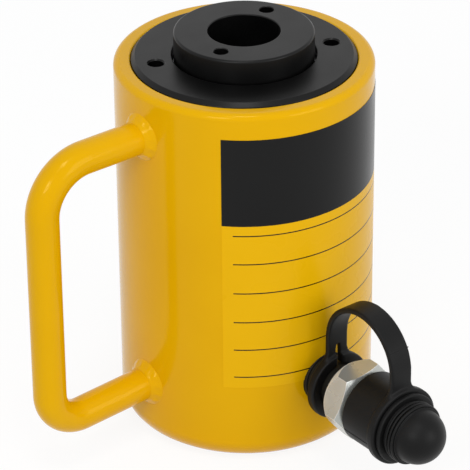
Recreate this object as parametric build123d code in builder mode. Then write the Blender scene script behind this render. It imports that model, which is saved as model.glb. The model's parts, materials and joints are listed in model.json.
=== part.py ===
from build123d import *
import os
from math import cos, radians, sin, sqrt, tan

os.makedirs("parts", exist_ok=True)

# Hollow-plunger hydraulic cylinder with a D-shaped carrying handle and a quick coupler.
# The origin is the centre of the base face, on the axis of the through bore. +Z is the
# lifting direction, the coupler points to -Y and the handle to -X. All sizes are in mm.

# Driving dimensions of the barrel
body_diameter = 98.0
rim_height = 149.4
pressure_bore = 73.0
base_thickness = 26.0
base_rounding = 9.0
rim_outer_rounding = 2.5
rim_inner_rounding = 0.8
gland_diameter = 85.0
gland_height = 18.4
gland_rise = 1.4
gland_chamfer = 1.6

# Driving dimensions of the plunger, the centre tube and the saddle
saddle_rise = 10.6
stroke = 50.0
plunger_diameter = 54.0
tube_diameter = 38.0
through_bore = 27.0
piston_nose_height = 11.0
piston_nose_step = 3.0
piston_head_height = 15.0
saddle_diameter = 52.8
saddle_head_height = 12.2
saddle_thread_diameter = 40.0
saddle_thread_length = 14.0
tube_flange_diameter = 46.0
tube_flange_thickness = 5.0
tube_top_clearance = 2.0

# Clearances
running_gap = 0.05
seat_gap = 0.1
stop_gap = 0.3
edge_break = 0.6

# Driving dimensions of the carrying handle
handle_bar_diameter = 12.7
handle_reach = 93.9
handle_top_height = 131.5
handle_bottom_height = 25.5
handle_bottom_drop = 2.8
handle_top_bend = 19.5
handle_bottom_bend = 13.5
weld_leg = 3.2
weld_bulge = 0.3

# Driving dimensions of the oil port and the coupler, measured outwards from the bore axis
port_height = 32.0
port_thread_diameter = 17.2
port_thread_depth = 8.0
oil_passage_diameter = 5.0
spot_face_diameter = 20.4
spot_face_reach = 47.4
washer_thickness = 2.0
collar_thickness = 2.0
nipple_thread_length = 7.0
neck_diameter = 18.0
hex_across_flats = 27.0
hex_start = 63.0
hex_length = 10.5
hex_back_chamfer = 4.2
hex_turn = 7.0
coupler_nose_diameter = 23.4
coupler_nose_length = 18.5

# Driving dimensions of the valve in the coupler
valve_chamber_diameter = 13.2
valve_throat_diameter = 8.2
valve_throat_length = 2.0
mouth_diameter = 16.0
mouth_depth = 3.5
mouth_seal_wire = 1.6
poppet_head_diameter = 12.0
poppet_head_length = 2.5
poppet_stem_diameter = 4.4
valve_guide_thickness = 2.0
poppet_wire = 1.0
poppet_spring_diameter = 8.4
poppet_spring_turns = 3.0

# Driving dimensions of the rubber cap and its strap
cap_skirt_diameter = 28.4
cap_wall = 2.2
cap_start = 75.0
cap_groove_start = 90.4
neck_ring_start = 53.8
strap_ring_thickness = 3.6
neck_ring_diameter = 27.2
cap_ring_diameter = 31.0
strap_width = 9.4
strap_thickness = 2.2
strap_arch_centre_height = 53.9
strap_flare = 5.0
strap_slit_width = 4.0
cap_groove_depth = 2.0
cap_flange_diameter = 28.0
cap_flange_thickness = 1.9
cap_neck_diameter = 22.6
cap_rib_diameter = 24.4
cap_rib_width = 0.9
cap_rib_pitch = 1.6
cap_rib_count = 3
cap_dome_diameter = 21.4

# Holes for pin spanners and for mounting screws
spanner_hole_depth = 6.0
gland_hole_diameter = 6.0
gland_hole_circle = 67.6
gland_hole_angle = 156.0
saddle_hole_diameter = 5.6
saddle_hole_circle = 39.2
saddle_hole_angle = 26.0
mounting_hole_diameter = 8.5
mounting_hole_circle = 70.0
mounting_hole_depth = 12.0

# Return spring
spring_wire = 4.8
spring_turns = 5.5
stop_tube_wall = 1.4

# Seals and bearing rings: depth of a groove and width of a ring
seal_depth = 5.0
piston_seal_width = 5.3
backup_ring_width = 1.9
guide_ring_depth = 3.0
guide_ring_width = 2.5
inner_seal_depth = 3.2
inner_seal_width = 4.8
o_ring_width = 2.9
wiper_depth = 3.9
wiper_width = 3.4
bearing_depth = 2.5
bearing_width = 6.0
groove_gap = 0.1
land = 1.1

# Heights that follow from the sizes above
closed_height = rim_height + saddle_rise
body_radius = body_diameter / 2
bore_radius = pressure_bore / 2
gland_radius = gland_diameter / 2
plunger_radius = plunger_diameter / 2
tube_radius = tube_diameter / 2
through_radius = through_bore / 2
gland_top = rim_height + gland_rise
gland_bottom = gland_top - gland_height
piston_bottom = base_thickness + seat_gap
head_bottom = piston_bottom + piston_nose_height
head_top = head_bottom + piston_head_height
plunger_top = closed_height - saddle_head_height
saddle_thread_bottom = plunger_top - saddle_thread_length
tube_top = saddle_thread_bottom - tube_top_clearance
plunger_inner_radius = tube_radius + running_gap
head_radius = bore_radius - running_gap
nose_radius = bore_radius - piston_nose_step
gland_inner_radius = plunger_radius + running_gap

# Planes of the coupler: one across its axis, one that holds its axis and +Z
port_plane = Plane(origin=(0, 0, port_height), x_dir=(1, 0, 0), z_dir=(0, -1, 0))
port_section = Plane(origin=(0, 0, port_height), x_dir=(0, -1, 0), z_dir=(-1, 0, 0))
port_axis = Axis((0, 0, port_height), (0, -1, 0))


def finish(piece, name):
    """Name a finished piece and write it to its own file."""
    piece.part.label = name
    export_step(piece.part, f"parts/{name}.step")


def make_ring(name, inner_radius, outer_radius, bottom, height, chamfer_size=0.0):
    """A plain ring about the lifting axis, with its edges broken on request."""
    with BuildPart() as ring:
        with BuildSketch(Plane.XY.offset(bottom)):
            Circle(outer_radius)
            Circle(inner_radius, mode=Mode.SUBTRACT)
        extrude(amount=height)
        if chamfer_size:
            chamfer(ring.edges().filter_by(GeomType.CIRCLE), chamfer_size)
    finish(ring, name)


# Barrel: a turned cup with a thick base, bored for the piston and recessed for the gland
recess_radius = gland_radius + seat_gap
tube_hole_radius = tube_radius + running_gap
flange_pocket_radius = tube_flange_diameter / 2 + seat_gap
tube_seal_bottom = (tube_flange_thickness + base_thickness - o_ring_width) / 2
port_radius = port_thread_diameter / 2
port_thread_end = spot_face_reach - port_thread_depth

with BuildPart() as cylinder_body:
    with BuildSketch():
        Circle(body_radius)
    extrude(amount=rim_height)
    with BuildSketch(Plane.XY.offset(base_thickness)):
        Circle(bore_radius)
    extrude(amount=rim_height, mode=Mode.SUBTRACT)
    with BuildSketch(Plane.XY.offset(gland_bottom)):
        Circle(recess_radius)
    extrude(amount=rim_height, mode=Mode.SUBTRACT)
    rim_edges = cylinder_body.faces().sort_by(Axis.Z)[-1].edges().sort_by(SortBy.RADIUS)
    fillet(rim_edges[-1], rim_outer_rounding)
    rim_edges = cylinder_body.faces().sort_by(Axis.Z)[-1].edges().sort_by(SortBy.RADIUS)
    fillet(rim_edges[0], rim_inner_rounding)
    fillet(cylinder_body.faces().sort_by(Axis.Z)[0].edges(), base_rounding)
    with BuildSketch():
        Circle(tube_hole_radius)
    extrude(amount=base_thickness, mode=Mode.SUBTRACT)
    with BuildSketch():
        Circle(flange_pocket_radius)
    extrude(amount=tube_flange_thickness, mode=Mode.SUBTRACT)
    with BuildSketch(Plane.XY.offset(tube_seal_bottom - groove_gap)):
        Circle(tube_radius + o_ring_width)
    extrude(amount=o_ring_width + 2 * groove_gap, mode=Mode.SUBTRACT)
    with BuildSketch():
        with PolarLocations(mounting_hole_circle / 2, 2):
            Circle(mounting_hole_diameter / 2)
    extrude(amount=mounting_hole_depth, mode=Mode.SUBTRACT)
    with BuildSketch(port_plane.offset(spot_face_reach)):
        Circle(spot_face_diameter / 2 + seat_gap)
    extrude(amount=body_radius, mode=Mode.SUBTRACT)
    with BuildSketch(port_plane.offset(port_thread_end)):
        Circle(port_radius + seat_gap)
    extrude(amount=body_radius, mode=Mode.SUBTRACT)
    with BuildSketch(port_plane.offset(nose_radius)):
        Circle(oil_passage_diameter / 2)
    extrude(amount=body_radius - nose_radius, mode=Mode.SUBTRACT)
finish(cylinder_body, "cylinder_body")

# Centre tube: lines the through bore and is held in the base by its flange
with BuildPart() as centre_tube:
    with BuildSketch():
        Circle(tube_radius)
    extrude(amount=tube_top)
    chamfer(centre_tube.faces().sort_by(Axis.Z)[-1].edges(), edge_break)
    with BuildSketch():
        Circle(tube_flange_diameter / 2)
    extrude(amount=tube_flange_thickness)
    with BuildSketch(Plane.XY.offset(tube_top - bearing_width - land - edge_break)):
        Circle(tube_radius)
        Circle(tube_radius - guide_ring_depth / 2, mode=Mode.SUBTRACT)
    extrude(amount=bearing_width, mode=Mode.SUBTRACT)
    Hole(through_radius)
finish(centre_tube, "centre_tube")

make_ring(
    "tube_bearing",
    tube_radius - guide_ring_depth / 2 + running_gap,
    tube_radius,
    tube_top - bearing_width - land - edge_break + groove_gap,
    bearing_width - 2 * groove_gap,
)

with BuildPart() as tube_seal:
    with BuildSketch(Plane.XZ):
        with Locations((tube_radius + o_ring_width / 2, tube_seal_bottom + o_ring_width / 2)):
            Circle(o_ring_width / 2 - running_gap)
    revolve(axis=Axis.Z)
finish(tube_seal, "tube_seal")

# Gland ring: screwed into the barrel mouth, it guides the plunger and carries the wiper
wiper_top = plunger_top - land
bearing_bottom = gland_bottom + land
with BuildPart() as gland_ring:
    with BuildSketch(Plane.XY.offset(gland_bottom)):
        Circle(gland_radius)
    extrude(amount=gland_height)
    chamfer(gland_ring.faces().sort_by(Axis.Z)[-1].edges(), gland_chamfer)
    chamfer(gland_ring.faces().sort_by(Axis.Z)[0].edges(), edge_break)
    with BuildSketch(Plane.XY.offset(gland_bottom)):
        Circle(gland_inner_radius)
    extrude(amount=gland_height, mode=Mode.SUBTRACT)
    chamfer(gland_ring.faces().sort_by(Axis.Z)[-1].edges().sort_by(SortBy.RADIUS)[0], edge_break / 2)
    with BuildSketch(Plane.XY.offset(wiper_top - wiper_width)):
        Circle(plunger_radius + wiper_depth)
    extrude(amount=wiper_width, mode=Mode.SUBTRACT)
    with BuildSketch(Plane.XY.offset(bearing_bottom)):
        Circle(plunger_radius + bearing_depth)
    extrude(amount=bearing_width, mode=Mode.SUBTRACT)
    with Locations(Plane.XY.offset(gland_top)):
        with PolarLocations(gland_hole_circle / 2, 2, start_angle=gland_hole_angle):
            CounterSinkHole(
                gland_hole_diameter / 2, gland_hole_diameter / 2 + edge_break, spanner_hole_depth
            )
finish(gland_ring, "gland_ring")

make_ring(
    "gland_bearing",
    gland_inner_radius - running_gap / 2,
    plunger_radius + bearing_depth - running_gap,
    bearing_bottom + groove_gap,
    bearing_width - 2 * groove_gap,
)

with BuildPart() as rod_wiper:
    with BuildSketch(Plane.XZ):
        with BuildLine():
            Polyline(
                (plunger_radius + wiper_depth - running_gap, wiper_top - wiper_width + groove_gap),
                (plunger_radius + wiper_depth - running_gap, wiper_top - groove_gap),
                (gland_inner_radius + edge_break, wiper_top - groove_gap),
                (gland_inner_radius - running_gap / 2, wiper_top - 3 * groove_gap),
                (gland_inner_radius + edge_break, wiper_top - wiper_width / 2),
                (gland_inner_radius + edge_break, wiper_top - wiper_width + groove_gap),
                close=True,
            )
        make_face()
    revolve(axis=Axis.Z)
finish(rod_wiper, "rod_wiper")

# Plunger: a chromed tube with the piston head turned on its lower end
seal_bottom = head_bottom + land
backup_bottom = seal_bottom + piston_seal_width
guide_bottom = backup_bottom + backup_ring_width + land
inner_seal_bottom = piston_bottom + 2 * land
with BuildPart() as plunger:
    with BuildSketch(Plane.XY.offset(piston_bottom)):
        Circle(nose_radius)
    extrude(amount=piston_nose_height)
    chamfer(plunger.faces().sort_by(Axis.Z)[0].edges(), edge_break)
    with BuildSketch(Plane.XY.offset(head_bottom)):
        Circle(head_radius)
    extrude(amount=piston_head_height)
    chamfer(plunger.faces().sort_by(Axis.Z)[-1].edges(), edge_break)
    with BuildSketch(Plane.XY.offset(head_top)):
        Circle(plunger_radius)
    extrude(amount=plunger_top - head_top)
    chamfer(plunger.faces().sort_by(Axis.Z)[-1].edges(), edge_break)
    for groove_bottom, groove_height, groove_depth in (
        (seal_bottom, piston_seal_width + backup_ring_width, seal_depth),
        (guide_bottom, guide_ring_width, guide_ring_depth),
    ):
        with BuildSketch(Plane.XY.offset(groove_bottom)):
            Circle(bore_radius)
            Circle(bore_radius - groove_depth, mode=Mode.SUBTRACT)
        extrude(amount=groove_height, mode=Mode.SUBTRACT)
    with BuildSketch(Plane.XY.offset(piston_bottom)):
        Circle(plunger_inner_radius)
    extrude(amount=plunger_top - piston_bottom, mode=Mode.SUBTRACT)
    with BuildSketch(Plane.XY.offset(saddle_thread_bottom - seat_gap)):
        Circle(saddle_thread_diameter / 2)
    extrude(amount=saddle_thread_length + seat_gap, mode=Mode.SUBTRACT)
    with BuildSketch(Plane.XY.offset(inner_seal_bottom)):
        Circle(tube_radius + inner_seal_depth)
    extrude(amount=inner_seal_width, mode=Mode.SUBTRACT)
finish(plunger, "plunger")

# Saddle: screwed into the top of the plunger, it carries the load
with BuildPart() as saddle:
    with BuildSketch(Plane.XY.offset(saddle_thread_bottom)):
        Circle(saddle_thread_diameter / 2 - seat_gap)
    extrude(amount=saddle_thread_length)
    chamfer(saddle.faces().sort_by(Axis.Z)[0].edges(), 2 * edge_break)
    with BuildSketch(Plane.XY.offset(plunger_top)):
        Circle(saddle_diameter / 2)
    extrude(amount=saddle_head_height)
    chamfer(saddle.faces().sort_by(Axis.Z)[-1].edges(), edge_break)
    with BuildSketch(Plane.XY.offset(saddle_thread_bottom)):
        Circle(through_radius + seat_gap)
    extrude(amount=closed_height, mode=Mode.SUBTRACT)
    chamfer(saddle.faces().sort_by(Axis.Z)[-1].edges().sort_by(SortBy.RADIUS)[0], edge_break / 2)
    with Locations(Plane.XY.offset(closed_height)):
        with PolarLocations(saddle_hole_circle / 2, 2, start_angle=saddle_hole_angle):
            Hole(saddle_hole_diameter / 2, spanner_hole_depth)
finish(saddle, "saddle")

# Piston seal: a lipped cup with its open side towards the oil
seal_outer = head_radius + running_gap / 2
seal_inner = bore_radius - seal_depth + running_gap
seal_middle = (seal_outer + seal_inner) / 2
with BuildPart() as piston_seal:
    with BuildSketch(Plane.XZ):
        with BuildLine():
            Polyline(
                (seal_inner, seal_bottom + groove_gap),
                (seal_middle - land / 2, seal_bottom + groove_gap),
                (seal_middle, seal_bottom + piston_seal_width / 2),
                (seal_middle + land / 2, seal_bottom + groove_gap),
                (seal_outer, seal_bottom + groove_gap),
                (seal_outer, backup_bottom - groove_gap),
                (seal_inner, backup_bottom - groove_gap),
                close=True,
            )
        make_face()
    revolve(axis=Axis.Z)
finish(piston_seal, "piston_seal")

make_ring("piston_backup_ring", seal_inner, head_radius, backup_bottom, backup_ring_width - groove_gap)
make_ring(
    "piston_guide_ring",
    bore_radius - guide_ring_depth + running_gap,
    seal_outer,
    guide_bottom + groove_gap,
    guide_ring_width - 2 * groove_gap,
)
make_ring(
    "inner_seal",
    plunger_inner_radius - running_gap / 2,
    tube_radius + inner_seal_depth - running_gap,
    inner_seal_bottom + groove_gap,
    inner_seal_width - 2 * groove_gap,
)

# Stop tube: stands on the piston head inside the spring and ends the stroke at the gland
stop_tube_inner = plunger_radius + running_gap
make_ring(
    "stop_tube",
    stop_tube_inner,
    stop_tube_inner + stop_tube_wall,
    head_top,
    gland_bottom - stroke - stop_gap - head_top,
)

# Return spring: a coil with ground ends between the piston head and the gland
spring_room_middle = (stop_tube_inner + stop_tube_wall + bore_radius) / 2
spring_length = gland_bottom - head_top
spring_pitch = spring_length / spring_turns
with BuildPart() as return_spring:
    with BuildLine(Plane.XY.offset(head_top)) as coil_line:
        Helix(pitch=spring_pitch, height=spring_length, radius=spring_room_middle)
    with BuildSketch(coil_line.line ^ 0):
        Circle(spring_wire / 2)
    sweep(path=coil_line.line, is_frenet=True)
    with BuildSketch(Plane.XY.offset(head_top)):
        Circle(bore_radius)
    extrude(amount=spring_length, mode=Mode.INTERSECT)
finish(return_spring, "return_spring")

# Carrying handle: one bent bar, its ends cut to sit on the barrel
handle_bar_radius = handle_bar_diameter / 2
with BuildPart() as carry_handle:
    with BuildLine(Plane.XZ) as handle_line:
        FilletPolyline(
            (-body_radius + handle_bar_radius, handle_top_height),
            (-handle_reach, handle_top_height),
            (-handle_reach, (handle_top_height + handle_bottom_height) / 2),
            radius=handle_top_bend,
        )
        FilletPolyline(
            (-handle_reach, (handle_top_height + handle_bottom_height) / 2),
            (-handle_reach, handle_bottom_height - handle_bottom_drop),
            (-body_radius + handle_bar_radius, handle_bottom_height),
            radius=handle_bottom_bend,
        )
    with BuildSketch(Plane(origin=handle_line.line @ 0, z_dir=handle_line.line % 0)):
        Circle(handle_bar_radius)
    sweep(path=handle_line.line)
    with BuildSketch():
        Circle(body_radius)
    extrude(amount=rim_height, mode=Mode.SUBTRACT)
finish(carry_handle, "carry_handle")

# Weld beads: one round each end of the handle, between the bar and the barrel
weld_toe_radius = handle_bar_radius + weld_leg
weld_root_reach = sqrt(body_radius**2 - weld_toe_radius**2)
weld_outer_reach = body_radius + weld_leg
with BuildPart() as handle_welds:
    for bead_height in (handle_bottom_height, handle_top_height):
        bar_corner = Vector(-weld_outer_reach, bead_height + handle_bar_radius)
        barrel_corner = Vector(-weld_root_reach, bead_height + weld_toe_radius)
        crown = (bar_corner + barrel_corner) / 2 + Vector(-weld_bulge, weld_bulge)
        with BuildSketch(Plane.XZ):
            with BuildLine():
                ThreePointArc(bar_corner, crown, barrel_corner)
                Polyline(
                    barrel_corner,
                    (-weld_root_reach, bead_height),
                    (-weld_outer_reach, bead_height),
                    bar_corner,
                )
            make_face()
        revolve(axis=Axis((0, 0, bead_height), (1, 0, 0)))
    with BuildSketch():
        Circle(body_radius)
    extrude(amount=rim_height, mode=Mode.SUBTRACT)
    add(carry_handle.part, mode=Mode.SUBTRACT)
finish(handle_welds, "handle_welds")

# Port nipple and its sealing washer
neck_radius = neck_diameter / 2
washer_face = spot_face_reach + washer_thickness
with BuildPart() as port_washer:
    with BuildSketch(port_plane.offset(spot_face_reach)):
        Circle(spot_face_diameter / 2)
        Circle(port_radius + 2 * seat_gap, mode=Mode.SUBTRACT)
    extrude(amount=washer_thickness)
finish(port_washer, "port_washer")

with BuildPart() as port_nipple:
    with BuildSketch(port_plane.offset(port_thread_end + land)):
        Circle(port_radius)
    extrude(amount=washer_face - port_thread_end - land)
    with BuildSketch(port_plane.offset(washer_face)):
        Circle(spot_face_diameter / 2 - edge_break)
    extrude(amount=collar_thickness)
    with BuildSketch(port_plane.offset(washer_face + collar_thickness)):
        Circle(neck_radius)
    extrude(amount=hex_start - washer_face - collar_thickness)
    with BuildSketch(port_plane.offset(hex_start)):
        Circle(port_radius)
    extrude(amount=nipple_thread_length)
    with BuildSketch(port_plane.offset(port_thread_end)):
        Circle(poppet_stem_diameter / 2 + 2 * edge_break)
    extrude(amount=body_radius, mode=Mode.SUBTRACT)
finish(port_nipple, "port_nipple")

# Coupler: a hexagon with a screwed nose that holds the check valve
coupler_nose_radius = coupler_nose_diameter / 2
hex_end = hex_start + hex_length
coupler_end = hex_end + coupler_nose_length
mouth_floor = coupler_end - mouth_depth
throat_start = mouth_floor - valve_throat_length
chamber_radius = valve_chamber_diameter / 2
throat_radius = valve_throat_diameter / 2
cone_length = chamber_radius - throat_radius
guide_start = hex_start + nipple_thread_length + seat_gap
hex_corner_radius = hex_across_flats / 2 / cos(radians(30))
chamfer_reach = (hex_corner_radius - hex_across_flats / 2 + edge_break) * tan(radians(30))
with BuildPart() as coupler_body:
    with BuildSketch(port_plane.offset(hex_start)):
        RegularPolygon(hex_corner_radius, 6, rotation=hex_turn)
    extrude(amount=hex_length)
    with BuildSketch(port_section):
        with BuildLine():
            Polyline(
                (hex_start, 0),
                (hex_start, hex_across_flats / 2 - edge_break),
                (hex_start + hex_back_chamfer, hex_corner_radius),
                (hex_end - chamfer_reach, hex_corner_radius),
                (hex_end, hex_across_flats / 2 - edge_break),
                (hex_end, 0),
                close=True,
            )
        make_face()
    revolve(axis=port_axis, mode=Mode.INTERSECT)
    with BuildSketch(port_plane.offset(hex_end)):
        Circle(coupler_nose_radius)
    extrude(amount=coupler_nose_length)
    chamfer(coupler_body.faces().sort_by(Axis.Y)[0].edges(), 2 * edge_break)
    with BuildSketch(port_section):
        with BuildLine():
            Polyline(
                (hex_start, 0),
                (hex_start, port_radius + seat_gap),
                (guide_start, port_radius + seat_gap),
                (guide_start, chamber_radius),
                (throat_start - cone_length, chamber_radius),
                (throat_start, throat_radius),
                (mouth_floor, throat_radius),
                (mouth_floor, mouth_diameter / 2),
                (coupler_end, mouth_diameter / 2),
                (coupler_end, 0),
                close=True,
            )
        make_face()
    revolve(axis=port_axis, mode=Mode.SUBTRACT)
finish(coupler_body, "coupler_body")

# Mouth seal: an O-ring on the floor of the coupler's mouth
seal_wire_radius = mouth_seal_wire / 2
with BuildPart() as mouth_seal:
    with BuildSketch(port_section):
        with Locations((mouth_floor + seal_wire_radius, mouth_diameter / 2 - seal_wire_radius - seat_gap)):
            Circle(seal_wire_radius)
    revolve(axis=port_axis)
finish(mouth_seal, "mouth_seal")

# Valve guide: a drilled disc that centres the poppet and carries its spring
with BuildPart() as valve_guide:
    with BuildSketch(port_plane.offset(guide_start)):
        Circle(chamber_radius - running_gap)
        Circle(poppet_stem_diameter / 2 + running_gap, mode=Mode.SUBTRACT)
        with PolarLocations((chamber_radius + poppet_stem_diameter / 2) / 2, 4):
            Circle(land, mode=Mode.SUBTRACT)
    extrude(amount=valve_guide_thickness)
finish(valve_guide, "valve_guide")

# Poppet: a cone on a stem, which the hose half pushes open
poppet_head_radius = poppet_head_diameter / 2
cone_start = throat_start - cone_length - stop_gap
poppet_tip = mouth_floor + valve_throat_length
tip_radius = throat_radius - stop_gap
head_start = cone_start - poppet_head_length
with BuildPart() as coupler_poppet:
    with BuildSketch(port_section):
        with BuildLine():
            Polyline(
                (guide_start - land, 0),
                (guide_start - land, poppet_stem_diameter / 2),
                (head_start, poppet_stem_diameter / 2),
                (head_start, poppet_head_radius),
                (cone_start, poppet_head_radius),
                (cone_start + poppet_head_radius - tip_radius, tip_radius),
                (poppet_tip, tip_radius),
                (poppet_tip, 0),
                close=True,
            )
        make_face()
    revolve(axis=port_axis)
    fillet(coupler_poppet.faces().sort_by(Axis.Y)[0].edges(), edge_break)
finish(coupler_poppet, "coupler_poppet")

# Poppet spring: between the valve guide and the poppet head
poppet_spring_start = guide_start + valve_guide_thickness
poppet_spring_length = head_start - poppet_spring_start
poppet_coil_height = poppet_spring_length - poppet_wire
with BuildPart() as poppet_spring:
    with BuildLine() as poppet_coil:
        Helix(
            pitch=poppet_coil_height / poppet_spring_turns,
            height=poppet_coil_height,
            radius=poppet_spring_diameter / 2,
            center=(0, -poppet_spring_start - poppet_wire / 2, port_height),
            direction=(0, -1, 0),
        )
    with BuildSketch(poppet_coil.line ^ 0):
        Circle(poppet_wire / 2)
    sweep(path=poppet_coil.line, is_frenet=True)
finish(poppet_spring, "poppet_spring")

# Dust cap: a rubber skirt over the coupler nose, a groove for the strap, ribs and a dome
skirt_radius = cap_skirt_diameter / 2
groove_radius = skirt_radius - cap_groove_depth
groove_end = cap_groove_start + strap_ring_thickness + 2 * groove_gap
flange_end = groove_end + cap_flange_thickness
rib_start = flange_end + cap_rib_width
dome_base = rib_start + cap_rib_count * cap_rib_pitch
dome_radius = cap_dome_diameter / 2
cap_floor = coupler_end + seat_gap
cap_neck_radius = cap_neck_diameter / 2
with BuildPart() as dust_cap:
    with BuildSketch(port_plane.offset(cap_start)):
        Circle(skirt_radius)
    extrude(amount=cap_groove_start - cap_start)
    chamfer(dust_cap.faces().sort_by(Axis.Y)[-1].edges(), edge_break)
    with BuildSketch(port_plane.offset(cap_groove_start)):
        Circle(groove_radius)
    extrude(amount=groove_end - cap_groove_start)
    with BuildSketch(port_plane.offset(groove_end)):
        Circle(cap_flange_diameter / 2)
    extrude(amount=cap_flange_thickness)
    fillet(dust_cap.faces().sort_by(Axis.Y)[0].edges(), edge_break)
    with BuildSketch(port_plane.offset(flange_end)):
        Circle(cap_neck_radius)
    extrude(amount=dome_base - flange_end)
    for rib in range(cap_rib_count):
        with BuildSketch(port_plane.offset(rib_start + rib * cap_rib_pitch)):
            Circle(cap_rib_diameter / 2)
        extrude(amount=cap_rib_width)
    with BuildSketch(port_section):
        with BuildLine():
            Line((dome_base, 0), (dome_base, dome_radius))
            ThreePointArc(
                (dome_base, dome_radius),
                (dome_base + dome_radius * sin(radians(45)), dome_radius * cos(radians(45))),
                (dome_base + dome_radius, 0),
            )
            Line((dome_base + dome_radius, 0), (dome_base, 0))
        make_face()
    revolve(axis=port_axis)
    with BuildSketch(port_plane.offset(cap_start)):
        Circle(skirt_radius - cap_wall)
    extrude(amount=cap_floor - cap_start, mode=Mode.SUBTRACT)
finish(dust_cap, "dust_cap")

# Cap strap: a ring on the nipple neck, a ring in the cap groove and a band arched between
cap_ring_start = cap_groove_start + groove_gap
arch_radius = (cap_ring_start + strap_thickness - neck_ring_start) / 2
arch_inner_radius = arch_radius - strap_thickness
arch_centre = neck_ring_start + arch_radius
arch_rise = strap_arch_centre_height - port_height
neck_ring_hole = neck_radius + stop_gap
cap_ring_hole = groove_radius + stop_gap
with BuildPart() as cap_strap:
    with BuildSketch(port_section):
        with Locations((arch_centre, arch_rise)):
            Circle(arch_radius)
        with Locations((arch_centre, arch_rise / 2)):
            Rectangle(2 * arch_radius, arch_rise)
        with Locations((arch_centre, arch_rise)):
            Circle(arch_inner_radius, mode=Mode.SUBTRACT)
        with Locations((arch_centre, 0)):
            Rectangle(2 * arch_inner_radius, 2 * arch_rise, mode=Mode.SUBTRACT)
            Rectangle(3 * arch_radius, arch_radius, mode=Mode.SUBTRACT)
    extrude(amount=strap_width / 2, both=True)
    for ring_start, ring_diameter in (
        (neck_ring_start, neck_ring_diameter),
        (cap_ring_start, cap_ring_diameter),
    ):
        with BuildSketch(port_plane.offset(ring_start)) as ring_plate:
            Circle(ring_diameter / 2)
            with Locations((0, arch_rise / 2)):
                Rectangle(strap_width, arch_rise)
            fillet(ring_plate.vertices().group_by(Axis.Y)[-2], strap_flare)
        extrude(amount=strap_thickness)
        with BuildSketch(port_plane.offset(ring_start)):
            Circle(ring_diameter / 2)
        extrude(amount=strap_ring_thickness)
    with BuildSketch(port_plane.offset(neck_ring_start)):
        Circle(neck_ring_hole)
        with BuildLine():
            Polyline(
                (-strap_slit_width / 2, 0),
                (0, arch_rise - strap_thickness),
                (strap_slit_width / 2, 0),
                close=True,
            )
        make_face()
    extrude(amount=strap_ring_thickness, mode=Mode.SUBTRACT)
    with BuildSketch(port_plane.offset(cap_groove_start)):
        Circle(cap_ring_hole)
    extrude(amount=strap_ring_thickness + strap_thickness, mode=Mode.SUBTRACT)
finish(cap_strap, "cap_strap")
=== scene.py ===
# %% [markdown]
# A hollow-plunger hydraulic cylinder, dressed around its measured solids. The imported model
# is a fixed frame: it says where every piece is and which body it moves with. All that
# follows adds finer shapes and finishes in the same place.

# %% Load the frame
import json
from math import atan2, cos, pi, radians, sin, sqrt, tan

import bmesh
import bpy
from mathutils import Matrix, Quaternion, Vector


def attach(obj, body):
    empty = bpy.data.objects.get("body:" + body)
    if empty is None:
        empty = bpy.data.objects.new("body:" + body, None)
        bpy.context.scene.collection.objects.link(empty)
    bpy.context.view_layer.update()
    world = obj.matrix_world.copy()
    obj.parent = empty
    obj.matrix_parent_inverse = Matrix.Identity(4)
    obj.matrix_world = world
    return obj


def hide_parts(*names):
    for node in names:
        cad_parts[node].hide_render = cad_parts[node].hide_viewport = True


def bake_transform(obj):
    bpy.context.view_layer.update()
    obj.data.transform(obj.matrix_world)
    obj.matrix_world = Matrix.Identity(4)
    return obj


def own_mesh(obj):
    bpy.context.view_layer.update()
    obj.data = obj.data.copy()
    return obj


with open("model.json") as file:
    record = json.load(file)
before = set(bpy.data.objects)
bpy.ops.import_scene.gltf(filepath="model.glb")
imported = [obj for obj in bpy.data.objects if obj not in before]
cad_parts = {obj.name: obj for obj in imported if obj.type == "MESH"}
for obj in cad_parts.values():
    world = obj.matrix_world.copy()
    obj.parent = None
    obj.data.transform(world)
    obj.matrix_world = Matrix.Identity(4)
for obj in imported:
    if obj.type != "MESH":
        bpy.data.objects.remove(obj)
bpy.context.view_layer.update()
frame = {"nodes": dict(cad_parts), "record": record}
mm = 0.001

# %% [markdown]
# The real object was photographed with a long lens from above the front left.
# A camera can be aimed by eye, but here its place was solved from the ellipses of the rims,
# so the same numbers give the same outline. A long lens keeps the barrel's sides near parallel.

# %% Camera
def new_piece(name, data):
    """Put a new object in the scene."""
    piece = bpy.data.objects.new(name, data)
    bpy.context.scene.collection.objects.link(piece)
    return piece


def place_facing(name, data, place, target):
    """Put a camera or a lamp in the scene, facing a target."""
    thing = new_piece(name, data)
    thing.location = place
    thing.rotation_mode = "QUATERNION"
    thing.rotation_quaternion = (target - Vector(place)).to_track_quat("-Z", "Y")
    return thing


camera_place = Vector((-0.64399, -0.81771, 0.66329))
camera_target = Vector((-0.00318, 0.00249, 0.07247))
camera_roll = radians(-0.534)
camera_data = bpy.data.cameras.new("photo_view")
camera_data.lens = 237.8
camera_data.sensor_width = 36.0
camera_data.clip_end = 20.0
camera = place_facing("photo_view", camera_data, camera_place, camera_target)
camera.rotation_quaternion = camera.rotation_quaternion @ Quaternion((0, 0, 1), camera_roll)
bpy.context.scene.camera = camera
bpy.context.scene.view_settings.view_transform = "Standard"
print("camera distance:", round((camera_target - camera_place).length, 3), "m")


# %% [markdown]
# Shader and geometry trees are alike to a script: nodes are placed, then each input gets a
# number or another node's output. These helpers do both in one call, so a tree reads as a
# list of what it is made of.

# %% Node helpers
def fill(tree, socket, value):
    """Give an input a value, or link it to an output or to another node's first output."""
    if isinstance(value, bpy.types.Node):
        value = value.outputs[0]
    if isinstance(value, bpy.types.NodeSocket):
        tree.links.new(value, socket)
    else:
        socket.default_value = value


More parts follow.
